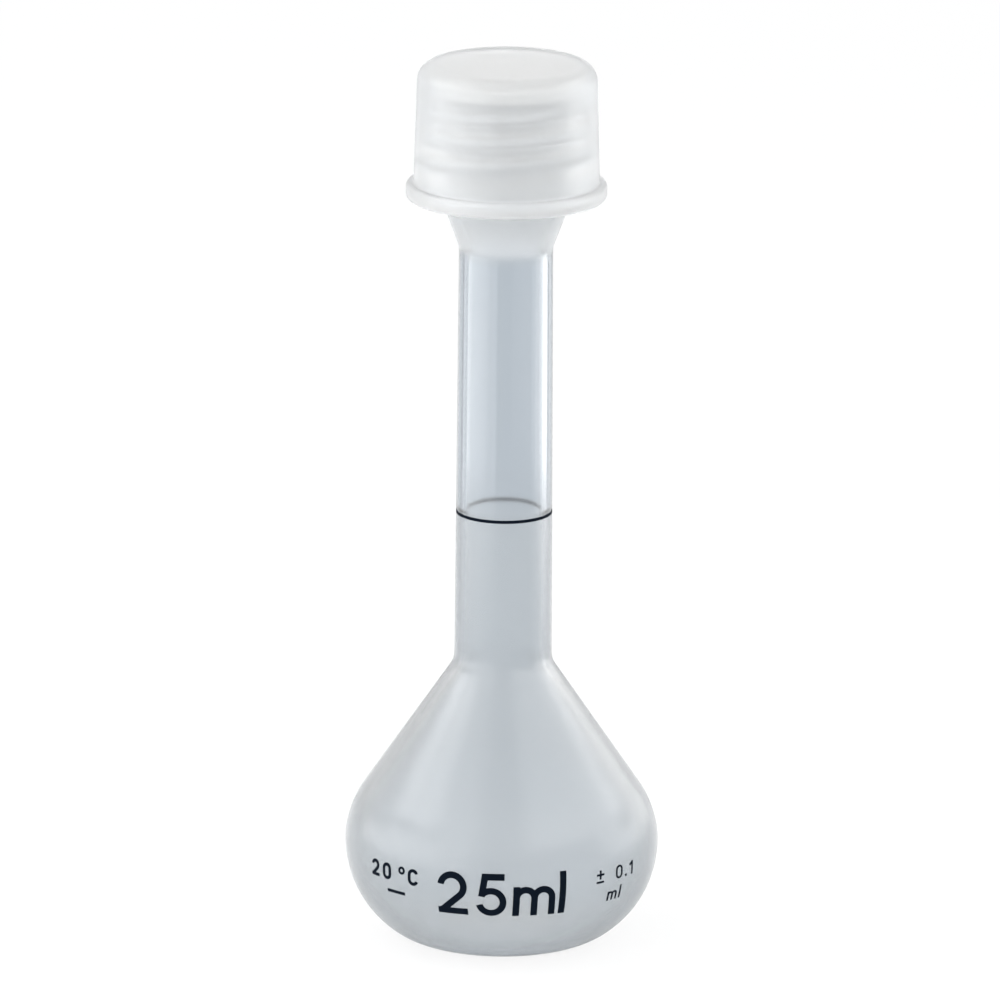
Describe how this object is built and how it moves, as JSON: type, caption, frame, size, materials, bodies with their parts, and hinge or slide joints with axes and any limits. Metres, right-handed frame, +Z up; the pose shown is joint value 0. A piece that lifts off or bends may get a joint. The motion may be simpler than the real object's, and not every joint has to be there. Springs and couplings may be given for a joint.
{
  "type": "volumetric flask with screw cap",
  "caption": "Small translucent plastic volumetric flask: pear-shaped bulb, slim clear neck with an ink capacity ring, flared threaded mouth and a screw cap with a sealing liner.",
  "frame": {"origin": "centre of the standing face under the bulb", "axes": "+Z up along the neck, -Y towards the front print, +X to its right"},
  "size_m": [0.04, 0.0399, 0.1142],
  "materials": {
    "clear_polypropylene": "translucent moulded polypropylene, clear and glossy on the neck, milky on the bulb",
    "milky_polypropylene": "milky satin moulded polypropylene",
    "liner_foam": "soft white sealing foam",
    "ink": "fired dark blue-black screen print"
  },
  "bodies": {
    "flask": {"flask_body": "clear_polypropylene", "graduation_ring": "ink", "capacity_print": "ink", "temperature_print": "ink", "tolerance_print": "ink"},
    "liner": {"cap_liner": "liner_foam"},
    "cap": {"screw_cap": "milky_polypropylene"}
  },
  "joints": [
    {"name": "cap_lift", "type": "slide", "parent": "flask", "child": "liner", "axis": [0, 0, 1], "range_m": [0, 0.018]},
    {"name": "cap_turn", "type": "hinge", "parent": "liner", "child": "cap", "pos_m": [0, 0, 0.1055], "axis": [0, 0, 1], "range_deg": [0, 2160]}
  ],
  "couplings": [
    {"joint": "cap_lift", "follows": "cap_turn", "m_per_rad": 0.00047746}
  ]
}
